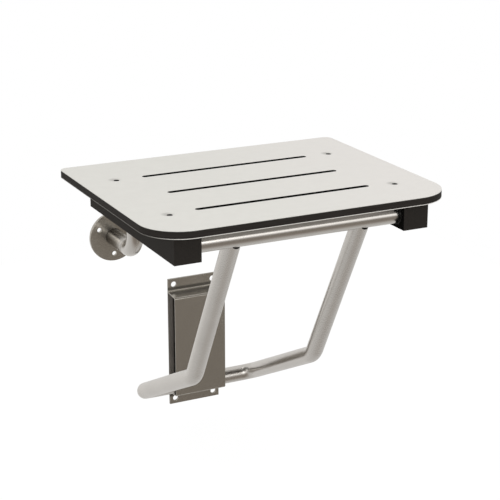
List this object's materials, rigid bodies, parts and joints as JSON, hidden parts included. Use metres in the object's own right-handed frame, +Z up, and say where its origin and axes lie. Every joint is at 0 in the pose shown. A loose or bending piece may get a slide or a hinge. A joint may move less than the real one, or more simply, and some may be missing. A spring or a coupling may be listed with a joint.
{
  "type": "fold-down wall seat",
  "caption": "Fold-down wall seat: slotted laminate board on side rails, hinged on wall-flanged risers, with a bent tube leg frame that slides in a wall bracket.",
  "frame": {"origin": "centre of the guide bracket's hole pattern, on the wall plane", "axes": "+X across the seat to its right-hand side seen from the front, +Y into the wall, +Z up; the seat's front faces -Y"},
  "size_m": [0.449, 0.3955, 0.4203],
  "materials": {
    "flange_steel": "brushed",
    "satin_tube": "satin",
    "plug": "matte",
    "bracket_sheet": "brushed",
    "phenolic_core": "matte",
    "white_laminate": "satin",
    "black_rail": "matte",
    "screw_steel": "satin",
    "nylon_bush": "matte"
  },
  "bodies": {
    "wall_frame": {"left_wall_flange": "flange_steel", "right_wall_flange": "flange_steel", "left_riser_tube": "satin_tube", "right_riser_tube": "satin_tube", "rear_pivot_bar": "satin_tube", "rear_bar_end_plugs": "plug", "guide_back_plate": "bracket_sheet", "guide_bracket": "bracket_sheet"},
    "seat": {"seat_core": "phenolic_core", "top_laminate": "white_laminate", "bottom_laminate": "white_laminate", "left_rail": "black_rail", "right_rail": "black_rail", "board_screws": "screw_steel", "left_rear_bush": "nylon_bush", "right_rear_bush": "nylon_bush", "left_front_bush": "nylon_bush", "right_front_bush": "nylon_bush"},
    "leg_frame": {"front_crossbar": "satin_tube", "crossbar_end_plugs": "plug", "left_leg_tube": "satin_tube", "right_leg_tube": "satin_tube"},
    "foot_slider": {"foot_bar": "satin_tube"}
  },
  "joints": [
    {"name": "seat_fold", "type": "hinge", "parent": "wall_frame", "child": "seat", "pos_m": [0, -0.091, 0.2812], "axis": [-1, 0, 0], "range_deg": [0, 90]},
    {"name": "leg_pivot", "type": "hinge", "parent": "seat", "child": "leg_frame", "pos_m": [0, -0.3528, 0.2812], "axis": [1, 0, 0], "range_deg": [0, 55.1]},
    {"name": "foot_slide", "type": "slide", "parent": "wall_frame", "child": "foot_slider", "axis": [0, 0, 1], "range_m": [0, 0.1314]}
  ],
  "couplings": [
    {"joint": "leg_pivot", "follows": "seat_fold", "ratio": 0.61192},
    {"joint": "foot_slide", "follows": "seat_fold", "m_per_rad": 0.083651}
  ]
}
